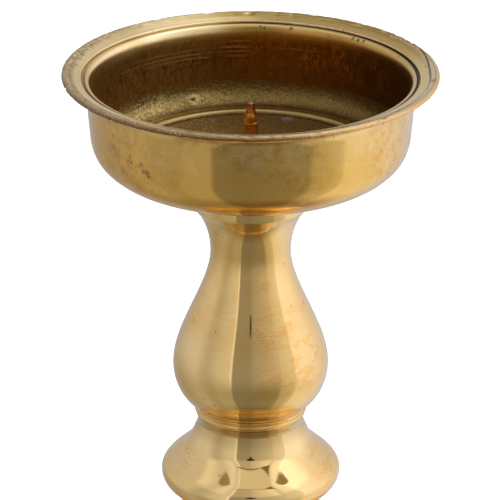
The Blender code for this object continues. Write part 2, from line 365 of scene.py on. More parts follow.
def polished_brass(name, seed, tarnish=1.0, worn=(), shade_and_tarnish=None):
    """Mirror-polished brass with handling stains, polishing lines and a few pits. worn lists places where the
    stains gather; shade_and_tarnish gives the heights between which the brass grows dull, as painted shade
    and tarnish."""
    g = Graph(name)
    offset = (seed * 31.0, seed * -17.0, seed * 9.0)
    cloud = stain(g, 0.035, 0.42, 0.66, offset=offset)
    g.colour = g.mix(cloud, BRASS, BRASS_PALE)
    patch = g.times(stain(g, 0.03, 0.52, 0.62, 2.0, offset=(seed * 5.0, 40.0, 8.0)), 0.45)
    for turn, radius, height, size in worn:
        patch = g.most(patch, spot(g, turn, radius, height, size * 0.35, size))
    slant = g.vector("MULTIPLY", g.vector("ADD", g.point, offset), (1.0, 1.0, 1.9))
    blotch = g.times(g.cloud(0.47, 0.62, 0.16, 7.0, 0.72, slant, 0.5), patch)
    g.paint(BRASS_ORANGE, blotch, 0.5 * tarnish)
    # rubbed marks: short parallel lines inside the stains
    lines = g.noise(1.0, 3.0, 0.6, g.scaled(0.35, 0.25, 2.1), 0.9)
    lines = g.times(g.fit(lines, 0.5, 0.68), patch)
    g.paint((0.66, 0.3, 0.07), lines, 0.42 * tarnish)
    dot = g.fade(g.cells(0.16), 0.05, 0.085)
    dot = g.times(dot, g.cloud(0.5, 0.56, 0.05, 1.0))
    g.paint((0.3, 0.14, 0.03), dot, 0.5)
    if shade_and_tarnish:
        # painted shade and tarnish: duller towards the joint above
        dull = g.fit(g.split(g.point)[2], *shade_and_tarnish)
        g.paint((0.56, 0.385, 0.155), dull, 0.8)
    fine = g.noise(1.0, 3.0, 0.6, around(g, 1.5, 9.0, seed * 7.0))
    brushed = g.noise(1.0, 4.0, 0.7, around(g, 1.3, 2.6, seed * 3.0))
    tone = g.ramp(brushed, [(0.3, (0.97, 0.96, 0.94)), (0.7, (1.0, 1.0, 1.0))])
    g.colour = g.mix(1.0, g.colour, tone, "MULTIPLY")
    smear = g.noise(0.06, 4.0, 0.6, g.vector("ADD", g.point, offset))
    rough = g.linear(smear, 0.06, POLISH - 0.03)
    rough = g.plus(rough, g.times(blotch, 0.08))
    rough = g.plus(rough, g.times(g.fit(fine, 0.58, 0.8), 0.04))
    rough = g.plus(rough, g.times(dot, 0.2))
    g.bump(fine, 0.000003, 0.4)
    g.bump(brushed, 0.000004, 0.4)
    g.bump(g.times(dot, -1.0), 0.00005, 0.6)
    return g.finish(rough)


def bowl_brass(outline):
    """The bowl's finish changes along its outline: polished outside, a rough hem, and a dull cast inside."""
    g = Graph("bowl_brass")
    marks, length = outline.marks, outline.length
    along = g.attribute("along")
    wobble = g.linear(g.noise(0.12, 4.0, 0.6), 2.4, -1.2)
    front, left, right = sector(g, 0, 45, 22), sector(g, -72, 60, 22), sector(g, 68, 46, 20)
    left_wall, right_wall = sector(g, -122, 34, 24), sector(g, 118, 40, 30)
    # painted light and shade: the shoulder's lighter colours reach further down the wall on the left side,
    # and the wall's darker colours further up elsewhere
    reach = g.times(g.fit(along, marks["corner_top"], marks["wall_up"] - 1.0),
                   g.fade(along, marks["shoulder"] - 1.4, marks["shoulder"] - 0.2))
    reach = g.times(reach, g.minus(g.times(left_wall, 2.8), 1.15))
    reached = g.plus(along, reach)

    def strip(stops, loose=1.0, start=along):
        path = g.math("DIVIDE", g.linear(wobble, loose, start), length)
        stops = [((marks[m] + d) / length, v) for m, d, v in stops]
        if len(stops) <= MOST_STOPS:
            return g.ramp(path, stops)
        cut = len(stops) // 2
        past = g.math("GREATER_THAN", path, stops[cut][0])
        return g.mix(past, g.ramp(path, stops[:cut + 1]), g.ramp(path, stops[cut:]))

    # colours along the outline; the dark stops just under the hem, in the groove by the flange and in the
    # crease inside the raised ring are painted shade
    base = strip([
        ("start", 0.0, (0.6, 0.42, 0.18)), ("start", 1.1, (0.52, 0.36, 0.16)),
        ("hem_under", -1.2, (0.3, 0.18, 0.07)), ("hem_under", -0.2, (0.1, 0.035, 0.006)),
        ("hem_under", 0.8, (0.34, 0.14, 0.02)), ("flange_under", 0.0, (0.7, 0.38, 0.08)),
        ("flange_under", 2.5, (0.8, 0.58, 0.25)), ("wall_top", 0.0, (0.77, 0.5, 0.16)),
        ("wall_low", 0.0, (0.78, 0.48, 0.13)), ("under", 0.0, (0.77, 0.46, 0.12)),
        ("hole", 0.0, (0.6, 0.35, 0.1)), ("dish", 0.0, (0.25, 0.155, 0.042)),
        ("dish_end", -4.0, (0.31, 0.2, 0.058)), ("dish_end", -1.0, (0.4, 0.27, 0.09)),
        ("dish_end", 0.1, (0.2, 0.12, 0.035)), ("ring_in", 0.0, (0.1, 0.06, 0.016)),
        ("ring_in", 0.4, (0.36, 0.245, 0.085)), ("ring_in", 0.9, (0.38, 0.27, 0.105)),
        ("ring_crest", 0.0, (0.42, 0.3, 0.115)), ("ring_out", 0.0, (0.66, 0.52, 0.24)),
        ("corner", 0.5, (0.44, 0.33, 0.13)), ("corner_mid", -1.0, (0.44, 0.3, 0.095)),
        ("corner_mid", 2.0, (0.54, 0.38, 0.125)), ("corner_top", -1.3, (0.6, 0.41, 0.13)),
        ("corner_top", 0.6, (0.25, 0.11, 0.016)), ("wall_mid", 0.0, (0.205, 0.066, 0.005)),
        ("wall_up", 0.0, (0.36, 0.175, 0.032)), ("shoulder", -1.2, (0.62, 0.4, 0.125)),
        ("shoulder", 0.3, (0.78, 0.56, 0.23)), ("groove_in", 0.0, (0.7, 0.5, 0.2)),
        ("groove_in", 0.25, (0.1, 0.065, 0.03)), ("flange", -0.25, (0.13, 0.09, 0.045)),
        ("flange", 0.1, (0.84, 0.62, 0.27)), ("hem_in", -0.3, (0.84, 0.62, 0.27)),
        ("hem_in", 0.4, (0.58, 0.41, 0.15)), ("hem_top", -0.8, (0.6, 0.42, 0.15)),
        ("hem_top", 0.0, (0.56, 0.39, 0.15)),
    ], 0.12, reached)
    rough_strip = strip([
        ("start", 0.0, 0.22), ("hem_under", 0.0, 0.36), ("flange_under", 0.0, 0.1),
        ("wall_top", 0.0, 0.055), ("wall_low", 0.0, 0.055), ("under", 0.0, 0.07), ("hole", 0.0, 0.4),
        ("dish", 0.0, 0.42), ("dish_end", 0.0, 0.4), ("ring_in", 0.4, 0.22), ("ring_out", 0.0, 0.26),
        ("corner", 0.6, 0.36), ("corner_top", -2.0, 0.34), ("corner_top", 1.0, 0.42),
        ("wall_mid", 0.0, 0.42), ("wall_up", 0.0, 0.34), ("shoulder", -1.0, 0.22),
        ("shoulder", 0.5, 0.14), ("groove_in", 0.2, 0.45), ("flange", 0.3, 0.13),
        ("hem_in", 0.0, 0.16), ("hem_top", 0.0, 0.22),
    ], 0.12)
    # masks for the zones
    cast = strip([
        ("hole", 0.0, 0.0), ("dish", 0.5, 0.8), ("dish_end", 0.0, 0.8), ("ring_in", 0.0, 0.08),
        ("ring_out", -0.6, 0.2), ("corner", 0.6, 1.0), ("corner_top", -1.2, 1.0), ("corner_top", 0.5, 0.1),
        ("wall_up", 0.0, 0.0),
    ], 0.5)
    wall = strip([
        ("corner_top", -1.6, 0.0), ("corner_top", 0.4, 1.0), ("wall_up", 0.0, 1.0), ("shoulder", -1.5, 0.0),
    ], 0.5)
    outer = strip([
        ("start", 0.0, 0.0), ("flange_under", 0.0, 0.1), ("flange_under", 2.0, 1.0), ("under", 0.0, 1.0),
        ("hole", 0.0, 0.0),
    ], 0.1)
    hem_top = strip([
        ("start", 0.0, 1.0), ("start", 0.8, 0.0), ("hem_in", -0.1, 0.0), ("hem_in", 0.3, 1.0),
    ], 0.1)
    hem_face = strip([
        ("start", 0.3, 0.0), ("start", 1.1, 1.0), ("hem_under", 0.0, 1.0), ("hem_under", 1.0, 0.0),
    ], 0.1)
    crest = strip([
        ("start", 0.05, 1.0), ("start", 0.5, 0.0), ("hem_top", -1.2, 0.0), ("hem_top", -0.5, 1.0),
    ], 0.12)
    rim_face = strip([
        ("wall_up", 0.0, 0.0), ("shoulder", -1.0, 1.0), ("hem_in", 0.0, 1.0), ("hem_top", 0.0, 0.4),
    ], 0.2)

    # outside: stains, mottling, polishing lines and pits
    mottle = stain(g, 0.3, 0.42, 0.62, 7.0, 0.76, (3.0, 11.0, 5.0))
    broad = g.most(stain(g, 0.035, 0.46, 0.62, 3.0, 0.5, (40.0, 3.0, 9.0)),
                   g.most(spot(g, -48, 51, 160, 6, 22), spot(g, 58, 51, 165, 5, 18)))
    outside_stain = g.times(mottle, broad, outer)
    g.colour = g.mix(g.times(outside_stain, 0.58), base, (0.55, 0.26, 0.065))
    grit = g.cloud(0.54, 0.66, 1.5, 5.0, 0.75, g.scaled(1.0, 1.0, 0.6))
    g.paint((0.44, 0.21, 0.06), grit, broad, outer, 0.4)
    lift = g.times(stain(g, 0.08, 0.48, 0.66, 6.0, 0.7, (7.0, 70.0, 2.0)), outer)
    g.paint((0.84, 0.63, 0.32), lift, 0.4)
    brushed = g.noise(1.0, 4.0, 0.7, around(g, 1.6, 4.2, 31.0))
    tone = g.ramp(brushed, [(0.3, (0.93, 0.91, 0.88)), (0.52, (1.0, 1.0, 1.0)), (0.75, (1.03, 1.035, 1.05))])
    g.paint(g.mix(1.0, g.colour, tone, "MULTIPLY"), outer)
    bent = g.vector("ADD", g.point, g.vector("SCALE", g.node("ShaderNodeTexNoise", {
        "Vector": g.point, "Scale": 1.1, "Detail": 3.0}).outputs["Color"], scale=1.1))
    pit = g.fade(g.cells(0.42, g.vector("MULTIPLY", bent, (1.0, 1.0, 0.8))), 0.07, 0.15)
    pit = g.times(pit, g.cloud(0.5, 0.58, 0.07, 2.0))
    for turn, height, size in (
        (-46.6, 164.0, 1.0), (-45.9, 162.2, 0.9), (-47.6, 162.4, 0.8), (-41.0, 162.9, 1.0),
        (-40.2, 160.5, 1.0), (-38.6, 160.4, 1.1), (-38.0, 159.3, 0.9), (76.0, 160.6, 1.1),
        (-56.0, 165.2, 1.2), (-55.0, 169.0, 1.2), (-51.0, 157.8, 1.0),
    ):
        pit = g.most(pit, spot(g, turn, 51.4, height, size * 0.35, size * 1.15))
    pit = g.times(pit, g.cloud(0.42, 0.52, 1.1, 5.0, 0.8))
    g.paint((0.17, 0.075, 0.02), pit, outer, 0.75)

    # inside wall: streaks round it, and along the turning lines a painted highlight with painted shade just
    # below in the groove
    streak = g.noise(1.0, 4.0, 0.65, around(g, 1.6, 2.2))
    g.paint((0.075, 0.024, 0.003), g.fit(streak, 0.5, 0.7), wall, 0.65)
    z = g.split(g.point)[2]
    torn = g.noise(1.0, 4.0, 0.7, around(g, 3.5, 1.6, 13.0))
    broken = g.cloud(0.36, 0.5, 0.13, 4.0, 0.75)
    for level, wide, turn, half in (
        (170.4, 0.34, -156, 22), (168.9, 0.24, -150, 30), (167.4, 0.34, -158, 16), (172.4, 0.18, 176, 14),
        (170.2, 0.22, 168, 12),
    ):
        line = g.math("ABSOLUTE", g.plus(z, g.linear(torn, 1.5, -0.75 - level)))
        reaches = g.times(sector(g, turn, half, 10), broken, wall)
        line = g.times(g.fade(line, wide * 0.4, wide * 1.7), reaches, g.fit(torn, 0.38, 0.55))
        g.paint((0.86, 0.58, 0.22), line, 0.8)
        below = g.math("ABSOLUTE", g.plus(z, g.linear(torn, 1.5, -0.05 - level)))
        below = g.times(g.fade(below, wide * 0.4, wide * 1.9), reaches)
        g.paint((0.035, 0.014, 0.004), below, 0.8)
    # inside wall: painted light on one side, painted shade on the other, with red-brown oxide at the back
    speckle = g.noise(0.7, 5.0, 0.75, g.scaled(1.0, 1.0, 0.7))
    g.paint((0.54, 0.3, 0.075), left_wall, wall, g.fit(speckle, 0.34, 0.6), 0.75)
    warm = g.times(sector(g, 160, 20, 12), wall, g.fit(speckle, 0.3, 0.56))
    g.paint((0.46, 0.15, 0.005), warm, 0.75)
    warm = g.times(sector(g, 156, 16, 12), wall, g.fit(z, 172.0, 174.0))
    g.paint((0.66, 0.32, 0.05), warm, 0.55)
    # painted highlights high up on the rim face and the wall on the left, and on the shoulder further back
    pale = g.times(sector(g, -114, 14, 10), g.fit(z, 172.5, 175.0))
    g.paint((0.95, 0.72, 0.36), pale, g.minus(1.0, outer), rim_face, 0.8)
    g.paint((0.8, 0.54, 0.19), sector(g, -116, 12, 10), wall, g.fit(z, 172.0, 174.5), 0.6)
    pale = g.times(sector(g, -153, 12, 10), g.fit(z, 174.8, 176.2), g.minus(1.0, outer), 0.75)
    g.paint((0.97, 0.79, 0.44), pale)
    # painted shade over the right side of the wall
    g.paint((0.075, 0.022, 0.0015), right_wall, wall, 0.6)
    upright = g.noise(0.5, 5.0, 0.75, g.scaled(1.0, 1.0, 0.22))
    g.paint((0.055, 0.018, 0.002), g.fit(upright, 0.53, 0.64), wall, 0.38)
    patches = g.noise(0.75, 6.0, 0.78, g.scaled(1.0, 1.0, 0.5))
    high_wall = g.times(g.fit(z, 160.0, 166.0), g.fade(z, 172.5, 175.0))
    oxide = g.times(g.fit(patches, 0.46, 0.6), g.cloud(0.34, 0.52, 0.1, 3.0),
                    sector(g, 158, 34, 18), wall, high_wall)
    g.paint((0.5, 0.155, 0.01), oxide, 0.75)
    oxide = g.times(g.fit(patches, 0.54, 0.63), g.cloud(0.38, 0.56, 0.14, 3.0),
                    sector(g, 158, 24, 12), wall, g.fit(z, 165.0, 168.5), g.fade(z, 171.5, 174.0))
    g.paint((0.74, 0.27, 0.02), oxide, 0.45)
    char = g.times(g.cloud(0.56, 0.64, 0.9, 6.0, 0.8, g.scaled(1.0, 1.0, 0.45)),
                   sector(g, 166, 22, 8), g.fit(z, 167.0, 169.0), g.fade(z, 172.0, 174.0), wall)
    g.paint((0.03, 0.012, 0.003), char, 0.85)
    # cast skin: sandy grain, its pale flecks stronger on one side as painted light
    grain = g.noise(1.35, 3.0, 0.65, g.scaled(1.0, 1.0, 0.8))
    g.paint((0.13, 0.085, 0.02), g.fit(grain, 0.52, 0.38), cast, 0.7)
    painted_light_side = g.most(sector(g, -130, 38, 24), 0.28)
    blister = spot(g, -157.5, 48.5, 153.9, 1.2, 2.8)
    g.paint((0.84, 0.66, 0.32), blister, 0.6)
    g.paint((0.1, 0.05, 0.015), spot(g, -157.3, 48.6, 153.7, 0.3, 1.1), 0.8)
    g.paint((0.9, 0.7, 0.34), g.fit(grain, 0.55, 0.7), cast, painted_light_side, 0.85)
    dull = g.times(stain(g, 0.05, 0.44, 0.64, 4.0, 0.6, (9.0, 5.0, 60.0)), cast)
    g.paint((0.2, 0.14, 0.04), dull, 0.4)
    shade = g.times(sector(g, 146, 52, 34), g.most(cast, g.fit(z, 151.0, 150.6, 0.0, 0.4)))
    g.paint((0.12, 0.07, 0.018), shade, 0.7)
    flat = g.vector("LENGTH", g.scaled(1.0, 1.0, 0.0))
    # painted shade in the crease inside the raised ring
    crease_shade = g.fade(g.gap(flat, 39.35), 0.15, 0.45)
    crease_shade = g.times(crease_shade, g.cloud(0.44, 0.56, 1.6, 3.0, 0.7),
                     g.fade(z, 151.3, 151.6), g.fit(z, 149.5, 150.0))
    g.paint((0.05, 0.03, 0.01), crease_shade, 0.85)
    verdigris = g.times(spot(g, 160.5, 37.0, 150.7, 1.2, 3.0), g.cloud(0.38, 0.55, 0.9, 3.0))
    g.paint((0.3, 0.31, 0.26), verdigris, 0.7)
    # hem: rough and brown on one side, a painted highlight along its crest that is strongest at the front,
    # chipped
    chips = g.noise(0.9, 5.0, 0.75)
    ragged = g.fit(chips, 0.34, 0.5)
    g.paint((0.43, 0.31, 0.16), hem_top, left, ragged, 0.8)
    g.paint((0.2, 0.105, 0.04), hem_face, left, 0.75)
    g.paint((0.82, 0.47, 0.14), hem_face, right, 0.85)
    g.paint((0.84, 0.64, 0.36), hem_top, right, 0.85)
    # painted highlight along the hem's crest, strongest at the front
    crest_highlight_side = g.most(front, g.times(g.most(left, right), 0.4))
    g.paint((0.92, 0.78, 0.56), crest, crest_highlight_side, g.fit(chips, 0.64, 0.48), 0.95)
    worn = g.times(g.most(hem_top, hem_face), g.most(left, g.times(front, 0.8)))
    g.paint((0.12, 0.06, 0.028), g.fit(chips, 0.53, 0.62), worn, 0.8)
    g.paint((0.8, 0.66, 0.48), g.cloud(0.58, 0.66, 1.6, 3.0, 0.6), worn, 0.5)
    # the fold's open edge shows as a dark line on one side
    side = g.split(g.vector("NORMALIZE", g.scaled(1.0, 1.0, 0.0)))
    back = g.fit(side[1], 0.02, 0.45)
    seam = g.linear(back, 1.9, 56.95)
    seam = g.gap(flat, g.plus(seam, g.times(wobble, 0.12)))
    seam = g.times(g.fade(seam, 0.12, 0.36), g.fit(z, 177.6, 178.0), sector(g, 72, 48, 10))
    g.paint((0.035, 0.025, 0.02), seam, 0.92)
    glint = spot(g, 95.0, 57.0, 179.6, 0.3, 0.9)
    g.paint((0.95, 0.86, 0.68), glint, 0.8)
    # the groove: pale on one side, toothed by the tool on the other, and dark nicks along the rim
    groove = strip([
        ("groove_in", -0.1, 0.0), ("groove_in", 0.2, 1.0), ("flange", -0.1, 1.0), ("flange", 0.3, 0.0),
    ], 0.05)
    g.paint((0.62, 0.42, 0.16), groove, sector(g, -122, 44, 16), 0.75)
    toothed = strip([
        ("shoulder", 0.0, 0.0), ("groove_in", -0.1, 1.0), ("flange", 0.3, 1.0), ("flange", 0.8, 0.0),
    ], 0.05)
    tooth = g.times(g.fade(g.cells(1.25), 0.16, 0.3), sector(g, 145, 40, 14), toothed)
    g.paint((0.06, 0.04, 0.02), tooth, 0.85)
    nip = g.fade(g.cells(0.75), 0.1, 0.2)
    nip = g.times(nip, g.cloud(0.52, 0.6, 0.11, 3.0))
    for turn, radius, height in (
        (176.5, 51.4, 177.2), (174.6, 51.4, 177.1), (139.5, 51.7, 177.4), (137.0, 51.6, 177.3),
        (134.5, 51.8, 177.4), (165.0, 51.5, 177.2), (155.5, 59.4, 179.6), (153.8, 59.3, 179.6),
        (-112, 57.6, 179.4), (-108, 56.6, 179.2), (-104, 56.4, 179.0), (-98, 56.2, 179.0),
    ):
        nip = g.most(nip, spot(g, turn, radius, height - 0.5, 0.3, 1.05))
    nip = g.times(nip, g.fit(chips, 0.36, 0.5), rim_face)
    g.paint((0.05, 0.03, 0.015), nip, 0.85)

    rough = g.plus(rough_strip, g.times(outside_stain, 0.07))
    rough = g.plus(rough, g.linear(g.noise(0.09, 4.0, 0.6), 0.05, -0.025))
    rough = g.plus(rough, g.times(g.fit(streak, 0.5, 0.7), wall, 0.1))
    rough = g.plus(rough, g.times(hem_top, left, 0.25))

    fine = g.noise(1.0, 3.0, 0.6, around(g, 2.0, 8.0))
    g.bump(fine, 0.00001, g.linear(wall, 0.8, 0.2))
    g.bump(brushed, 0.000012, g.times(outer, 0.5))
    g.bump(g.noise(1.1, 3.0, 0.6), 0.0002, g.times(cast, 0.9))
    g.bump(grain, 0.00016, cast)
    g.bump(streak, 0.00012, g.times(wall, 0.55))
    g.bump(chips, 0.00024, g.times(worn, 0.9))
    g.bump(g.times(nip, -1.0), 0.0001, g.times(rim_face, 0.8))
    g.bump(g.times(pit, -1.0), 0.00008, g.times(outer, 0.8))
    return g.finish(rough)


def spike_bronze():
    g = Graph("spike_bronze")
    g.colour = g.mix(stain(g, 0.5, 0.4, 0.62), (0.88, 0.39, 0.068), (0.7, 0.27, 0.034))
    rings = g.noise(1.0, 3.0, 0.6, around(g, 0.8, 6.0))
    g.paint((0.93, 0.5, 0.12), g.fit(rings, 0.52, 0.68), 0.5)
    z = g.split(g.point)[2]
    soot = g.times(g.fit(z, 167.2, 168.9), g.cloud(0.36, 0.55, 1.4, 3.0))
    soot = g.most(soot, g.fit(z, 168.95, 169.05))
    g.paint((0.17, 0.07, 0.03), soot, 0.75)
    # painted shade: the shank below the point is darker, with a dark line at the step under the point
    low = g.fade(z, 162.3, 162.6)
    g.paint((0.42, 0.15, 0.012), low, 0.55)
    step = g.fade(g.gap(z, 162.6), 0.12, 0.32)
    g.paint((0.1, 0.035, 0.01), step, 0.75)
    rough = g.linear(g.noise(0.8, 4.0), 0.16, 0.16)
    g.bump(rings, 0.00003, 0.6)
    return g.finish(rough)


def worn_edge(g):
    return g.fit(g.node("ShaderNodeNewGeometry").outputs["Pointiness"], 0.5, 0.56)


def fitting_brass():
    g = Graph("fitting_brass")
    g.colour = g.mix(stain(g, 0.35, 0.42, 0.62), (0.7, 0.47, 0.17), (0.48, 0.28, 0.09))
    g.paint((0.86, 0.66, 0.33), worn_edge(g), 0.6)
    rough = g.linear(g.noise(0.9, 4.0), 0.2, 0.18)
    g.bump(g.noise(2.2, 3.0), 0.00003, 0.5)
    return g.finish(rough)


def zinc_steel():
    g = Graph("zinc_steel")
    spangle = g.cells(0.7, out="Color")
    tone = g.fit(g.split(spangle)[0], 0.0, 1.0)
    g.colour = g.mix(tone, (0.55, 0.56, 0.57), (0.7, 0.71, 0.72))
    g.paint((0.42, 0.36, 0.28), stain(g, 0.25, 0.52, 0.7), 0.5)
    g.paint((0.84, 0.84, 0.83), worn_edge(g), 0.5)
    rough = g.linear(g.noise(0.8, 4.0), 0.25, 0.22)
    g.bump(g.noise(2.5, 3.0), 0.00003, 0.6)
    return g.finish(rough)


def green_felt():
    g = Graph("green_felt")
    fibre = g.noise(3.0, 5.0, 0.75, g.scaled(1.0, 0.45, 1.0), 1.4)
    g.colour = g.mix(g.fit(fibre, 0.38, 0.64), (0.018, 0.05, 0.03), (0.06, 0.13, 0.085))
    g.paint((0.1, 0.13, 0.09), stain(g, 0.06, 0.5, 0.68), 0.4)
    g.bump(fibre, 0.0004, 0.9)
    made = g.finish(g.linear(fibre, 0.1, 0.87), 0.0)
    g.shader.inputs["Sheen Weight"].default_value = 0.35
    g.shader.inputs["Specular IOR Level"].default_value = 0.2
    return made


# ---- pieces

def place(piece, body, finish, node):
    piece.data.materials.append(finish)
    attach(piece, body)
    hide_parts(node)


def dent(where, at, depth, width):
    """A round dent at one place, given as (degrees from the front, radius, height); below 0 it is a bump."""
    radius, height, angle = where
    a = math.radians(at[0]) - math.pi / 2
    x, y = at[1] * math.cos(a), at[1] * math.sin(a)
    flat = (radius * np.cos(angle) - x) ** 2 + (radius * np.sin(angle) - y) ** 2
    gap = np.sqrt(flat + (height - at[2]) ** 2)
    return -depth * np.exp(-(gap / width) ** 2)


def fault(radius, height, angle, at):
    """A long low blister in the casting, broken along its middle."""
    a = math.radians(at[0]) - math.pi / 2
    across = ((angle - a + math.pi) % TAU - math.pi) * at[1]
    over = np.hypot(radius - at[1], height - at[2]) * np.sign(height - at[2])
    over = over + 0.12 * np.sin(across * 1.3)
    swell = np.exp(-(across / 2.7) ** 2 - (over / 0.95) ** 2)
    slot = np.exp(-((across - 0.2) / 1.5) ** 2 - (over / 0.36) ** 2)
    moat = np.exp(-(across / 3.6) ** 2 - ((over + 1.5) / 0.5) ** 2)
    return np.where(height > 151.9, 0.62 * swell - 0.95 * slot - 0.22 * moat, 0)


def drip_bowl():
    o = Outline(58.8, 179.9, 0.8).mark("start")
    o.arc(59.0, 178.92, 0.98, 95, -96, 12).mark("hem_under")
    o.line(57.9, 178.08, 0.4).line(57.6, 178.32, 0.4).line(57.2, 177.86, 0.4).mark("flange_under")
    o.bend(55.2, 177.5, 52.6, 176.5, 52.1, 172.5, 0.7).mark("wall_top")
    o.bend(51.9, 169.0, 51.7, 165.0, 51.3, 161.5).mark("wall_low")
    o.bend(51.1, 157.0, 50.5, 153.0, 46.6, 149.8)
    o.bend(42.9, 146.4, 36.4, 145.0, 32.0, 143.68).mark("under")
    o.bend(28.5, 142.6, 24.0, 141.2, 21.0, 140.5, 1.2)
    o.line(12.0, 140.44, 3.0).line(2.7, 140.44, 3.0).mark("hole").line(2.6, 140.6).line(2.6, 143.8, 1.6)
    o.line(2.75, 143.96).line(9.0, 143.98, 1.0).mark("dish")
    o.bend(18.0, 145.6, 30.0, 149.1, 38.8, 151.05, 1.0).mark("dish_end")
    o.bend(39.1, 151.0, 39.4, 150.8, 39.6, 151.1, 0.25).mark("ring_in")
    o.bend(39.9, 151.6, 40.4, 152.0, 41.3, 152.15, 0.2).mark("ring_crest")
    o.bend(42.2, 152.25, 42.9, 152.2, 43.5, 151.95, 0.4).mark("ring_out")
    o.line(44.2, 151.35, 0.3).mark("corner")
    o.bend(47.2, 151.3, 50.0, 153.6, 50.1, 158.6, 0.6)
    o.marks["corner_mid"] = (o.marks["corner"] + o.length) / 2
    o.mark("corner_top")
    o.bend(50.2, 161.6, 50.28, 164.0, 50.3, 166.5).mark("wall_mid")
    o.bend(50.32, 169.0, 50.34, 171.5, 50.4, 173.6).mark("wall_up")
    o.bend(50.6, 175.9, 51.1, 177.4, 51.95, 177.66, 0.35).mark("shoulder")
    o.bend(52.3, 177.76, 52.5, 177.74, 52.65, 177.6, 0.15).mark("groove_in")
    o.bend(52.8, 177.2, 53.2, 177.0, 53.5, 177.2, 0.15).line(53.68, 178.05, 0.2).mark("flange")
    o.bend(53.8, 178.28, 54.0, 178.32, 54.3, 178.38, 0.2)
    o.bend(55.2, 178.58, 55.8, 178.72, 56.3, 178.9, 0.4).mark("hem_in")
    o.bend(56.9, 179.15, 57.8, 179.87, 58.8, 179.9, 0.3)
    o.mark("hem_top")
    m = o.marks

    def shape(where, path):
        radius, height, angle = where
        from_front = np.degrees((angle + math.pi / 2 + math.pi) % TAU - math.pi)
        hem = np.maximum(smooth(m["hem_under"] + 1.2, m["hem_under"] - 0.6, path),
                         smooth(m["hem_in"] + 0.2, m["hem_in"] + 1.4, path))
        out = np.zeros(radius.shape)
        rows = hem[:, 0] > 0
        sub = [values[rows] for values in where]
        rag = grid_noise(sub, 0.55, 2, 4)
        chip = -np.clip(grid_noise(sub, 0.3, 5, 3) - 0.34, 0, 1) * 1.1
        out[rows] += hem[rows] * (rag * 0.075 - 0.09 + chip)
        out += dent(where, (94.7, 57.0, 179.3), -0.16, 0.55)
        out += dent(where, (96.5, 56.5, 178.8), 0.28, 0.6)
        for turn, depth in ((155.5, 0.5), (153.4, 0.35), (127.0, 0.22), (-163.0, 0.2)):
            out += dent(where, (turn, 60.0, 179.3), depth, 0.8)
        # the fold's open edge is a narrow crack on one side; elsewhere it is pressed flush
        top = np.where(height > 177.9, 1.0, 0.0) * smooth(53.5, 54.5, radius)
        seam = 56.55 + 2.3 * smooth(0.02, 0.45, np.sin(angle))
        part = smooth(18, 28, from_front) * smooth(124, 116, from_front)
        out -= 0.42 * top * part * np.exp(-((radius - seam) / 0.2) ** 2)
        # polishing has left the outside very slightly wavy
        outside = smooth(m["flange_under"], m["wall_top"], path) * smooth(m["hole"], m["under"], path)
        rows = outside[:, 0] > 0
        out[rows] += outside[rows] * grid_noise([values[rows] for values in where], 0.045, 3, 2) * 0.028
        # cast skin and the fault in it
        rows = slice(*np.searchsorted(path[:, 0], (m["dish"], m["wall_up"])))
        bumps = grid_noise([values[rows] for values in where], 0.34, 9, 3)
        skin = smooth(m["corner"], m["corner"] + 1, path)
        skin = skin * smooth(m["corner_top"] + 3, m["corner_top"] - 2, path)
        dish = smooth(m["dish"], m["dish"] + 2, path) * smooth(m["dish_end"] + 0.5, m["dish_end"] - 1, path)
        out[rows] += bumps * (0.055 * skin[rows] + 0.03 * dish[rows])
        out += fault(radius, height, angle, (-157.5, 48.5, 153.7))
        out += dent(where, (160.5, 36.5, 150.5), 0.12, 1.6)
        # three turning lines inside the wall, each on part of its way round
        for level, start, end in ((170.4, -176, -134), (168.9, -170, -120), (167.4, -166, -138)):
            part = smooth(start, start + 8, from_front) * smooth(end, end - 10, from_front)
            part = part * smooth(m["corner_top"], m["corner_top"] + 1, path)
            out -= 0.09 * part * np.exp(-((height - level + 0.5) / 0.32) ** 2)
        # the rim stands a little higher on one side
        lean = -0.003 * (radius * np.cos(angle) + 25.0) * smooth(150.0, 168.0, height)
        return out, lean

    piece = turned("drip_bowl_turned", o, BOWL_SEGMENTS, shape, sharp=50)
    place(piece, "stand", bowl_brass(o), "drip_bowl")


def waviness(scale, depth, seed, first, last):
    """Polishing has left the part of the outline between two places very slightly wavy."""
    def shape(where, path):
        out = grid_noise(where, scale, seed, 2) * depth
        return out * smooth(first - 1, first + 1, path) * smooth(last + 1, last - 1, path), 0
    return shape


def polished(node, outline, shape, *look, segments=BODY_SEGMENTS, **marks):
    piece = turned(node + "_turned", outline, segments, shape)
    finish = polished_brass(node.replace("_bead", "") + "_brass", *look, **marks)
    place(piece, "stand", finish, node)


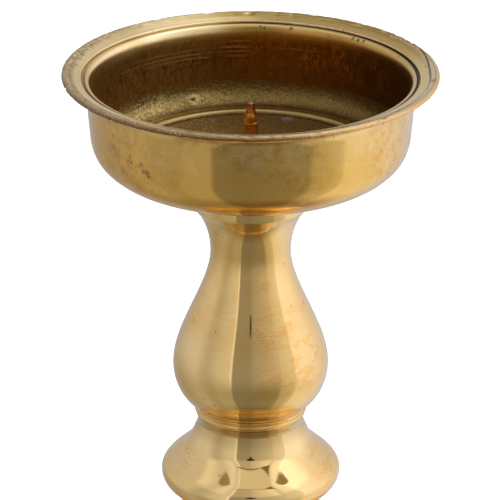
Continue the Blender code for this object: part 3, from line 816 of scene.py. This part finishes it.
def stem():
    o = Outline(2.6, 139.9, 3.0).line(2.8, 140.1).line(18.5, 140.1).mark("lip_top")
    o.arc(18.6, 139.5, 0.6, 90, 0, 4).line(19.2, 135.5, 0.7)
    o.arc(18.8, 135.3, 0.4, 0, -60, 3).line(17.15, 132.75, 0.5)
    o.bend(16.98, 132.5, 16.9, 132.45, 16.7, 132.1, 0.2)
    o.bend(14.7, 129.0, 13.0, 124.2, 13.0, 118.9, 0.6)
    o.bend(13.1, 106.8, 25.3, 91.8, 25.3, 79.7, 0.8)
    o.bend(25.3, 74.8, 23.6, 69.5, 18.85, 65.75, 0.6).bend(18.65, 65.55, 18.5, 65.4, 18.3, 65.3, 0.15)
    o.mark("foot")
    o.line(13.5, 65.4, 1.5).line(13.4, 65.6).line(13.4, 68.4, 1.5)
    o.bend(19.5, 70.5, 22.4, 74.5, 22.4, 79.7, 2.0)
    o.bend(22.4, 91.3, 10.0, 107.3, 10.0, 118.9, 2.5)
    o.bend(10.0, 125.0, 11.0, 129.0, 11.6, 135.9, 2.5)
    o.line(2.8, 135.9, 3.0).line(2.6, 136.1).line(2.6, 139.9, 3.0)
    shape = waviness(0.05, 0.018, 4, o.marks["lip_top"] + 4, o.marks["foot"] - 2)
    worn = ((22, 19, 97, 13), (48, 23, 86, 15), (20, 24, 82, 11), (-70, 20, 98, 5), (12, 14, 112, 5))
    polished("stem", o, shape, 1.0, worn=worn)


def collar_bead():
    o = Outline(9.0, 67.4, 1.5).line(12.9, 67.4).line(13.0, 67.2).line(13.0, 65.1).line(18.3, 65.2)
    o.arc(18.3, 65.05, 0.15, 90, 0, 3).line(17.88, 63.65, 0.3)
    o.bend(17.84, 63.45, 18.24, 63.5, 18.28, 63.2, 0.1).bend(18.28, 63.05, 18.2, 62.95, 18.1, 62.8, 0.1)
    o.line(17.9, 62.14, 0.4).line(17.8, 62.06)
    o.line(12.0, 62.1).line(12.0, 60.0).line(11.8, 59.8).line(9.1, 59.8).line(9.0, 60.0).line(9.0, 67.4, 2.0)
    polished("collar_bead", o, None, 2.0)


def knop():
    o = Outline(12.4, 61.7, 1.2).line(12.6, 62.02).line(17.72, 62.02).mark("top").line(17.86, 61.96)
    o.fall(((61.96, -18), (59.8, -17), (59.4, 0), (58.8, 22), (57.2, 23), (54.4, 23.6), (52.9, 27.5),
            (52.3, 37), (51.4, 44), (50.3, 46.5), (46.8, 48.5), (45.7, 46)), 0.3)
    o.bend(28.2, 44.5, 29.3, 43.4, 29.3, 41.5, 0.5)
    o.bend(29.3, 38.6, 27.4, 36.2, 24.2, 35.65, 0.6).bend(23.9, 35.55, 23.5, 35.3, 23.2, 35.0, 0.3)
    o.bend(17.0, 34.6, 13.6, 33.4, 13.4, 30.2, 0.6).line(14.0, 29.05).mark("foot")
    o.line(13.9, 29.0).line(9.5, 29.0).line(9.4, 29.2).line(9.4, 32.0)
    o.bend(13.0, 37.4, 26.6, 36.6, 26.4, 41.5, 2.0).bend(26.2, 45.0, 12.4, 52.0, 12.4, 57.6, 2.0)
    o.line(12.4, 61.7, 2.0)
    shape = waviness(0.06, 0.014, 6, o.marks["top"] + 2, o.marks["foot"] - 2)
    worn = ((-62, 22, 50, 7), (66, 25, 47, 12), (85, 28, 43, 9))
    # the last pair gives the heights of the painted shade and tarnish under the collar
    polished("knop", o, shape, 3.0, 0.9, worn, (54.0, 59.2))


def neck_bead():
    o = Outline(6.0, 30.7, 1.2).line(6.1, 30.8).line(8.9, 30.8).line(9.0, 30.6).line(9.0, 28.7)
    o.line(14.4, 28.7)
    o.arc(14.6, 27.3, 1.4, 90, -90, 14).line(6.1, 25.9).line(6.0, 26.1).line(6.0, 30.7, 2.0)
    polished("neck_bead", o, None, 4.0)


def foot():
    o = Outline(3.5, 25.4, 1.5).line(3.7, 25.6).line(13.7, 25.6).mark("top").arc(13.7, 25.3, 0.3, 90, 0, 3)
    o.bend(14.3, 20.0, 19.0, 16.8, 28.0, 15.95, 0.7).arc(28.0, 15.65, 0.3, 90, 15, 3)
    o.line(28.5, 14.98).line(28.8, 14.82)
    o.bend(39.0, 14.3, 46.6, 11.2, 48.6, 6.3, 0.8).bend(48.8, 5.9, 49.0, 5.6, 49.4, 5.55, 0.25)
    o.line(51.3, 5.4, 0.6).arc(51.3, 4.7, 0.7, 90, 0, 6).line(52.0, 1.9, 0.8)
    o.arc(51.5, 1.8, 0.5, 0, -90, 4).mark("foot").line(48.4, 1.3, 1.5).line(48.4, 3.6)
    o.bend(46.4, 5.4, 44.6, 9.4, 38.0, 11.8, 2.0).line(27.0, 12.6, 3.0)
    o.bend(20.0, 13.4, 12.6, 14.6, 11.4, 20.4, 2.0).line(3.7, 20.4, 3.0).line(3.5, 20.6).line(3.5, 25.4, 3.0)
    shape = waviness(0.04, 0.022, 8, o.marks["top"] + 2, o.marks["foot"] - 1)
    polished("foot", o, shape, 5.0, 1.1, ((35, 38, 13, 16), (-130, 42, 11, 14)), segments=FOOT_SEGMENTS)


def base_felt():
    o = Outline(0.0, 1.0, 3.0).line(50.6, 1.0).bend(51.1, 1.0, 51.2, 0.8, 51.2, 0.5, 0.2)
    o.bend(51.2, 0.2, 51.0, 0.0, 50.6, 0.0, 0.2).line(0.0, 0.0, 3.0)

    def shape(where, path):
        rim = smooth(49.4, 50.8, where[0])
        fray = grid_noise(where, 1.1, 12, 4)
        return np.where(rim > 0, -np.abs(fray) * 0.28 * rim, 0), 0

    piece = turned("base_felt_disc", o, FELT_SEGMENTS, shape, closed=False)
    place(piece, "stand", green_felt(), "base_felt")


def spike():
    end = 127.2
    o = Outline(0.0, 169.08, 0.15).line(0.76, 169.08)
    o.arc(0.76, 168.86, 0.22, 90, 12, 5).line(1.34, 167.1, 0.2).line(1.6, 166.0, 0.2)
    o.bend(1.72, 165.5, 1.94, 164.9, 2.08, 164.3, 0.15).line(2.27, 163.05, 0.15)
    o.arc(2.17, 162.95, 0.1, 0, -80, 3).line(2.1, 162.75, 0.1)
    o.bend(2.14, 162.6, 2.36, 162.6, 2.4, 162.35, 0.1)
    o.line(2.4, 151.6, 0.11).line(2.0, 151.2, 0.2).mark("thread")
    o.line(1.98, end + 0.7, PITCH / 8).mark("thread_end").line(1.4, end + 0.02, 0.2).line(0.0, end, 0.5)

    def shape(where, path):
        height, angle = where[1:]
        turn = ((angle + math.pi / 2) / TAU - height / PITCH) % 1.0
        tooth = np.clip(np.abs(turn - 0.5) * 2, 0.12, 0.88)
        tooth = (tooth - 0.12) / 0.76
        on = smooth(151.2, 150.7, height) * smooth(end + 0.4, end + 1.2, height)
        # cutting marks: coarser on the shank than on the point
        point = 0.016 * np.sin(height * TAU / 0.42)
        point = point * smooth(163.0, 163.4, height) * smooth(168.6, 168.2, height)
        shank = 0.045 * np.sin(height * TAU / 0.62)
        shank = shank * smooth(162.3, 162.0, height) * smooth(151.6, 152.2, height)
        facet = 0.03 * np.cos(5 * angle) * smooth(162.4, 163.4, height) * smooth(168.9, 167.5, height)
        return -THREAD_DEPTH * tooth * on + point + shank + facet, 0

    piece = turned("spike_turned", o, SPIKE_SEGMENTS, shape, closed=False, sharp=60)
    place(piece, "spike", spike_bronze(), "spike")


def spike_nut(finish):
    low, high, flats, bore = 145.6, 148.8, 7.0, 2.36
    steps = SMALL_SEGMENTS
    angles = np.arange(steps) * TAU / steps
    hexagon = flats / 2 / np.cos((angles + math.pi / 6) % (math.pi / 3) - math.pi / 6)
    inner = flats / 2 * 0.97
    drop = np.maximum(hexagon - inner, 0) * math.tan(math.radians(30))
    rings = []

    def ring(radius, height):
        points = np.broadcast_arrays(radius * np.cos(angles), radius * np.sin(angles), height)
        rings.append(np.stack(points, axis=1))

    for r, z in ((bore, high - 0.35), (bore + 0.3, high)):
        ring(r, z)
    for t in (0.4, 0.8, 1.0):
        ring(bore + 0.3 + (inner - bore - 0.3) * t, high)
    ring((inner + hexagon) / 2, high - drop / 2)
    ring(hexagon - 0.04, high - drop)
    for t in (0.06, 0.35, 0.65, 0.94):
        ring(hexagon, (high - drop) * (1 - t) + (low + drop) * t)
    ring(hexagon - 0.04, low + drop)
    ring((inner + hexagon) / 2, low + drop / 2)
    for t in (1.0, 0.5):
        ring(bore + 0.3 + (inner - bore - 0.3) * t, low)
    for r, z in ((bore + 0.3, low), (bore, low + 0.35), (bore, (low + high) / 2)):
        ring(r, z)
    verts = np.concatenate(rings) * MM
    count = len(rings)
    faces = []
    for i in range(count):
        a, b = i * steps, ((i + 1) % count) * steps
        faces += [(a + j, b + j, b + (j + 1) % steps, a + (j + 1) % steps) for j in range(steps)]
    mesh = bpy.data.meshes.new("spike_nut_hex")
    mesh.from_pydata(verts.tolist(), [], faces)
    piece = finish_mesh(mesh.name, mesh, 26)
    place(piece, "spike", finish, "spike_nut")


def spike_washer(finish):
    o = Outline(2.36, 145.15, 0.5).line(2.5, 145.3).line(5.8, 145.3).arc(5.8, 145.1, 0.2, 90, 0, 4)
    o.line(6.0, 144.45).arc(5.85, 144.45, 0.15, 0, -90, 3).line(2.5, 144.3).line(2.36, 144.45)
    o.line(2.36, 145.15)

    def shape(where, path):
        return grid_noise(where, 0.8, 15, 3) * 0.012 - 0.012, 0

    piece = turned("spike_washer_turned", o, SMALL_SEGMENTS, shape)
    place(piece, "washer", finish, "spike_washer")


drip_bowl()
stem()
collar_bead()
knop()
neck_bead()
foot()
base_felt()
spike()
small_brass = fitting_brass()
spike_nut(small_brass)
spike_washer(small_brass)
steel = zinc_steel()
for name in ("coupling_nut", "tie_rod", "foot_washer", "lock_washer", "foot_nut"):
    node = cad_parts[name]
    for material_slot in node.material_slots:
        material_slot.material = steel
    node.data.shade_smooth()
    node.data.set_sharp_from_angle(angle=math.radians(30))


# ---- studio

def add_floor():
    mesh = bpy.data.meshes.new("floor")
    corners = [(x * FLOOR_HALF, y * FLOOR_HALF, 0) for x, y in ((-1, -1), (1, -1), (1, 1), (-1, 1))]
    mesh.from_pydata(corners, [], [(0, 1, 2, 3)])
    floor = add_object("floor", mesh)
    g = Graph("floor_paper")
    g.colour = g.mix(g.noise(0.004, 3.0), (0.9, 0.9, 0.9), (0.93, 0.93, 0.93))
    mesh.materials.append(g.finish(0.8, 0.0))
    g.shader.inputs["Specular IOR Level"].default_value = 0.0
    floor.visible_glossy = False


def add_world():
    """White for the camera and for diffuse light. Reflections see a soft tent: dim towards the camera, a
    broad bright panel on the right and a softer one on the left."""
    world = bpy.data.worlds.new("studio")
    bpy.context.scene.world = world
    world.use_nodes = True
    tree = world.node_tree
    background = tree.nodes["Background"]
    g = Graph.__new__(Graph)
    g.tree, g.height_out = tree, None
    way = g.node("ShaderNodeTexCoord").outputs["Generated"]
    x, y, z = g.split(way)[:3]
    side = g.times(g.math("ARCTAN2", x, g.times(y, -1.0)), 180 / math.pi)
    rise = g.times(g.math("ARCSINE", z), 180 / math.pi)
    turn = g.linear(side, 1 / 360, 0.5)

    def tint(level, blue):
        return (level, level * (1 + 0.06 * blue), level * (1 + 0.45 * blue))

    def panels(stops):
        return g.ramp(turn, [(a / 360 + 0.5, tint(level, blue)) for a, level, blue in stops])

    def between(value, low, high, soft):
        return g.times(g.fit(value, low - soft, low + soft), g.fade(value, high - soft, high + soft))

    def box(left, right, low, high, soft_side, soft_rise):
        return g.times(between(side, left, right, soft_side), between(rise, low, high, soft_rise))

    upper = panels([
        (-180, 0.59, 0.15), (-150, 0.59, 0.25), (-110, 0.74, 0.3), (-88, 0.76, 0.2), (-74, 0.6, 0.1),
        (-66, 0.58, 0.0), (-50, 0.72, 0.1), (-34, 0.82, 0.1), (-30.6, 0.84, 0.1), (-29.8, 1.14, 0.4),
        (-28.4, 1.1, 0.3), (-27.3, 0.6, 0.1), (-26.5, 0.38, -0.1), (-2, 0.38, -0.1), (4, 0.46, 0.0),
        (20, 0.56, 0.0), (40, 0.7, 0.05), (45, 0.76, 0.1), (46.5, 0.83, 0.1), (60, 0.95, 0.2),
        (68, 1.02, 0.3), (70.5, 1.34, 0.6), (105, 1.24, 0.6), (135, 0.93, 0.45), (160, 0.7, 0.25),
        (180, 0.59, 0.15),
    ])
    lower = panels([
        (-180, 0.46, 0.1), (-120, 0.45, -0.2), (-92, 0.55, -0.1), (-80, 0.51, -0.2), (-70, 0.46, -0.3),
        (-60, 0.44, -0.4), (-50, 0.5, -0.3), (-34, 0.49, -0.3), (-29, 0.5, -0.3), (-27.5, 0.28, -0.2),
        (0, 0.265, -0.2), (20, 0.31, -0.2), (30, 0.33, -0.5), (43, 0.36, -0.7), (47, 0.56, -0.5),
        (60, 0.67, -0.3), (68, 0.76, -0.2), (71, 0.82, -0.1), (72.5, 1.0, 0.0), (95, 1.05, 0.3),
        (120, 1.0, 0.5), (150, 0.8, 0.5), (180, 0.46, 0.1),
    ])
    g.colour = g.mix(g.fit(rise, -32, 4), lower, upper)
    high = g.mix(1.0, g.colour, (1.5, 1.45, 1.4), "MULTIPLY")
    g.paint(high, g.fit(rise, 26, 44), box(-26.5, 44, 20, 70, 1.0, 4.0))
    # under the horizon it falls away to the shade round the foot
    nadir = g.ramp(turn, [(0.0, (0.34, 0.3, 0.22)), (0.38, (0.36, 0.3, 0.2)), (0.44, (0.21, 0.16, 0.11)),
                          (0.62, (0.24, 0.18, 0.11)), (0.75, (0.44, 0.37, 0.26)), (1.0, (0.34, 0.3, 0.22))])
    g.paint(nadir, g.fade(rise, -74, -50))
    # brighter again high on both sides, and behind on one side only
    sides = g.most(box(52, 150, 42, 90, 4.0, 6.0), g.times(box(-96, -42, 42, 90, 6.0, 6.0), 1.2))
    g.paint(g.mix(1.0, g.colour, (1.28, 1.28, 1.28), "MULTIPLY"), sides)
    # the tent's roof and the dark gap along its front edge, which droops to the sides
    reach = g.math("MINIMUM", g.math("ABSOLUTE", side), 75.0)
    bow = g.linear(g.times(reach, reach), 0.0038, rise)
    roof = g.times(g.fit(bow, 66.4, 67.2), box(-27.4, 50, -90, 91, 0.8, 1.0))
    g.paint((0.8, 0.78, 0.72), roof)
    g.paint((1.05, 1.08, 1.2), g.fit(rise, 74, 84))
    g.paint((1.06, 1.0, 0.86), box(166, 179.5, 42, 60, 7.0, 7.0))
    g.paint((0.42, 0.38, 0.3), box(-181, -150, 26, 60, 1.0, 5.0))
    gap = g.times(between(bow, 65.8, 66.9, 0.25), between(side, -36, 48, 1.0))
    g.paint((0.13, 0.1, 0.06), gap)
    edge = g.linear(g.minus(bow, 66.0), 3.0, 25.0)
    corner = g.times(between(bow, 66.0, 73.0, 0.3), g.fit(g.minus(side, edge), -1.0, 1.0))
    corner = g.times(corner, g.fade(side, 47.0, 49.0))
    g.paint((0.22, 0.2, 0.12), corner)
    for middle, slope, low, high_ in ((-61.0, -0.287, 60.8, 66.0), (70.0, 0.368, 58.2, 62.2)):
        across = g.minus(side, middle)
        up = g.linear(across, slope, rise)
        narrow = g.most(g.minus(low + 2.4, up), 0.0)
        wide = g.linear(narrow, 3.6, g.math("ABSOLUTE", across))
        flag = g.times(between(up, low, high_, 0.15), g.fade(wide, 11.0, 12.4))
        g.paint((0.34, 0.31, 0.2), flag)
    for half, low, high_, soft in ((1.8, 24.4, 27.0, 0.3), (4.5, 26.8, 36.0, 0.8), (7.5, 28.0, 34.0, 1.2)):
        g.paint((0.045, 0.04, 0.028), box(-half, half, low, high_, 0.8, soft))
    path = g.node("ShaderNodeLightPath")
    plain = g.mix(path.outputs["Is Glossy Ray"], (1.0, 1.0, 1.0), g.colour)
    g.put(background.inputs["Color"], plain)
    background.inputs["Strength"].default_value = 1.0


def add_light(name, at, size, power):
    data = bpy.data.lights.new(name, "AREA")
    data.shape = "DISK"
    data.size = size
    data.energy = power
    lamp = add_object(name, data)
    lamp.location = at
    lamp.rotation_euler = (Vector((0, 0, 0.12)) - Vector(at)).to_track_quat("-Z", "Y").to_euler()
    lamp.visible_glossy = False
    lamp.visible_camera = False


def add_camera():
    data = bpy.data.cameras.new("camera")
    data.sensor_width = 36.0
    data.lens = CAMERA_LENS
    data.clip_start = 0.05
    camera = add_object("camera", data)
    camera.location = CAMERA_AT
    camera.rotation_euler = (math.radians(90 - CAMERA_DOWN), 0, 0)
    bpy.context.scene.camera = camera


add_floor()
add_world()
add_light("key_right", (1.3, -0.4, 1.5), 1.2, 16)
add_light("fill_left", (-1.4, -0.7, 1.1), 1.4, 8)
add_light("top", (0.0, 0.3, 1.9), 1.6, 10)
add_camera()
bpy.context.scene.view_settings.view_transform = "Standard"
